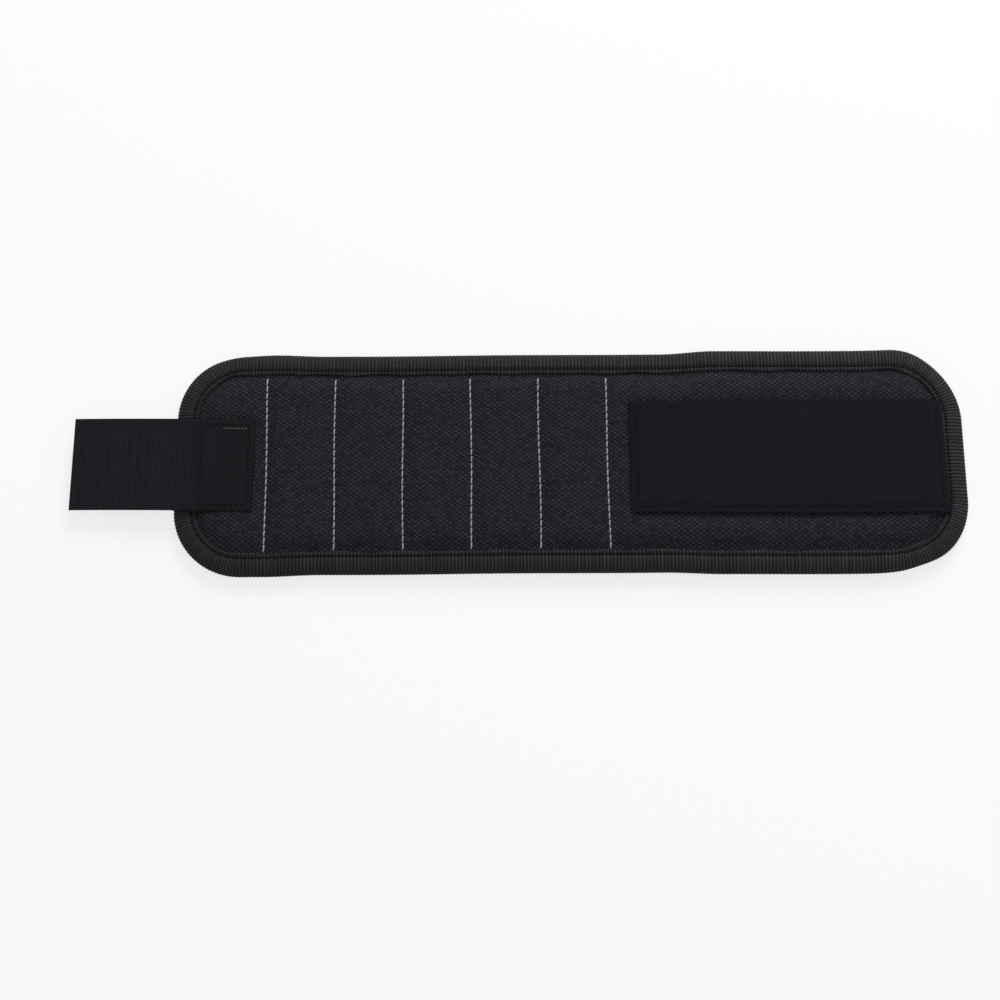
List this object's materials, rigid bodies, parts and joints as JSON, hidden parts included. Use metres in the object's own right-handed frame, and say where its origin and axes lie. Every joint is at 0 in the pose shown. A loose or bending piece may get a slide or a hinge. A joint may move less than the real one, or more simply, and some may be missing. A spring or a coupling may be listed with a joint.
{
  "type": "magnetic wristband",
  "caption": "Padded fabric wristband with sewn rows of hidden disc magnets for holding screws and small tools, a bound edge, and a hook tab that closes on a loop patch.",
  "frame": {"origin": "centre of the flat band's outline, on the surface that its lining lies on", "axes": "+X along the band from the hook tab towards the loop patch's end, +Y across it, +Z out of the front face"},
  "size_m": [0.3536, 0.0912, 0.0086],
  "materials": {
    "cover_fabric": "coarse black basket-weave polyester",
    "foam_lining": "black knitted spacer mesh bonded to thin foam",
    "binding_tape": "black ribbed grosgrain tape",
    "loop_pile": "black loop pile",
    "hook_tape": "black cross-ribbed woven tape with hooks on its underside",
    "stitch_thread": "off-white sewing thread",
    "magnet": "nickel-plated disc"
  },
  "bodies": {
    "left_end": {"front_cover_left_end": "cover_fabric", "foam_lining_left_end": "foam_lining", "edge_binding_left_end": "binding_tape", "hook_tab_sewn_end": "hook_tape"},
    "row_1": {"front_cover_row_1": "cover_fabric", "foam_lining_row_1": "foam_lining", "edge_binding_upper_row_1": "binding_tape", "edge_binding_lower_row_1": "binding_tape", "magnet_row_1_lower": "magnet", "magnet_row_1_middle": "magnet", "magnet_row_1_upper": "magnet", "stitch_line_1": "stitch_thread"},
    "row_2": {"front_cover_row_2": "cover_fabric", "foam_lining_row_2": "foam_lining", "edge_binding_upper_row_2": "binding_tape", "edge_binding_lower_row_2": "binding_tape", "magnet_row_2_lower": "magnet", "magnet_row_2_middle": "magnet", "magnet_row_2_upper": "magnet", "stitch_line_2": "stitch_thread"},
    "row_3": {"front_cover_row_3": "cover_fabric", "foam_lining_row_3": "foam_lining", "edge_binding_upper_row_3": "binding_tape", "edge_binding_lower_row_3": "binding_tape", "magnet_row_3_lower": "magnet", "magnet_row_3_middle": "magnet", "magnet_row_3_upper": "magnet", "stitch_line_3": "stitch_thread"},
    "row_4": {"front_cover_row_4": "cover_fabric", "foam_lining_row_4": "foam_lining", "edge_binding_upper_row_4": "binding_tape", "edge_binding_lower_row_4": "binding_tape", "magnet_row_4_lower": "magnet", "magnet_row_4_middle": "magnet", "magnet_row_4_upper": "magnet", "stitch_line_4": "stitch_thread"},
    "row_5": {"front_cover_row_5": "cover_fabric", "foam_lining_row_5": "foam_lining", "edge_binding_upper_row_5": "binding_tape", "edge_binding_lower_row_5": "binding_tape", "magnet_row_5_lower": "magnet", "magnet_row_5_middle": "magnet", "magnet_row_5_upper": "magnet", "stitch_line_5": "stitch_thread"},
    "wing_1": {"front_cover_wing_1": "cover_fabric", "foam_lining_wing_1": "foam_lining", "edge_binding_upper_wing_1": "binding_tape", "edge_binding_lower_wing_1": "binding_tape", "loop_patch_wing_1": "loop_pile", "stitch_line_6": "stitch_thread"},
    "wing_2": {"front_cover_wing_2": "cover_fabric", "foam_lining_wing_2": "foam_lining", "edge_binding_upper_wing_2": "binding_tape", "edge_binding_lower_wing_2": "binding_tape", "loop_patch_wing_2": "loop_pile"},
    "right_end": {"front_cover_right_end": "cover_fabric", "foam_lining_right_end": "foam_lining", "edge_binding_right_end": "binding_tape", "loop_patch_right_end": "loop_pile"},
    "hook_tab": {"hook_tab_free_end": "hook_tape"}
  },
  "joints": [
    {"name": "band_wrap", "type": "hinge", "parent": "right_end", "child": "wing_2", "pos_m": [0.10425, 0, 0.0066], "axis": [0, -1, 0], "range_deg": [0, 66.5]},
    {"name": "fold_7", "type": "hinge", "parent": "wing_2", "child": "wing_1", "pos_m": [0.06938, 0, 0.0066], "axis": [0, -1, 0], "range_deg": [0, 62]},
    {"name": "fold_6", "type": "hinge", "parent": "wing_1", "child": "row_5", "pos_m": [0.0345, 0, 0.0054], "axis": [0, -1, 0], "range_deg": [0, 37.8]},
    {"name": "fold_5", "type": "hinge", "parent": "row_5", "child": "row_4", "pos_m": [0.0076, 0, 0.0054], "axis": [0, -1, 0], "range_deg": [0, 27.5]},
    {"name": "fold_4", "type": "hinge", "parent": "row_4", "child": "row_3", "pos_m": [-0.0193, 0, 0.0054], "axis": [0, -1, 0], "range_deg": [0, 27.1]},
    {"name": "fold_3", "type": "hinge", "parent": "row_3", "child": "row_2", "pos_m": [-0.0462, 0, 0.0054], "axis": [0, -1, 0], "range_deg": [0, 33.4]},
    {"name": "fold_2", "type": "hinge", "parent": "row_2", "child": "row_1", "pos_m": [-0.0731, 0, 0.0054], "axis": [0, -1, 0], "range_deg": [0, 46]},
    {"name": "flap_close", "type": "hinge", "parent": "row_1", "child": "left_end", "pos_m": [-0.1, 0, 0.0054], "axis": [0, -1, 0], "range_deg": [0, 59.7]},
    {"name": "tab_lift", "type": "hinge", "parent": "left_end", "child": "hook_tab", "pos_m": [-0.13525, 0, 0.0078], "axis": [0, -1, 0], "range_deg": [-110, 5]}
  ],
  "couplings": [
    {"joint": "fold_7", "follows": "band_wrap", "ratio": 0.93233},
    {"joint": "fold_6", "follows": "band_wrap", "ratio": 0.56842},
    {"joint": "fold_5", "follows": "band_wrap", "ratio": 0.41353},
    {"joint": "fold_4", "follows": "band_wrap", "ratio": 0.40752},
    {"joint": "fold_3", "follows": "band_wrap", "ratio": 0.50226},
    {"joint": "fold_2", "follows": "band_wrap", "ratio": 0.69173}
  ]
}
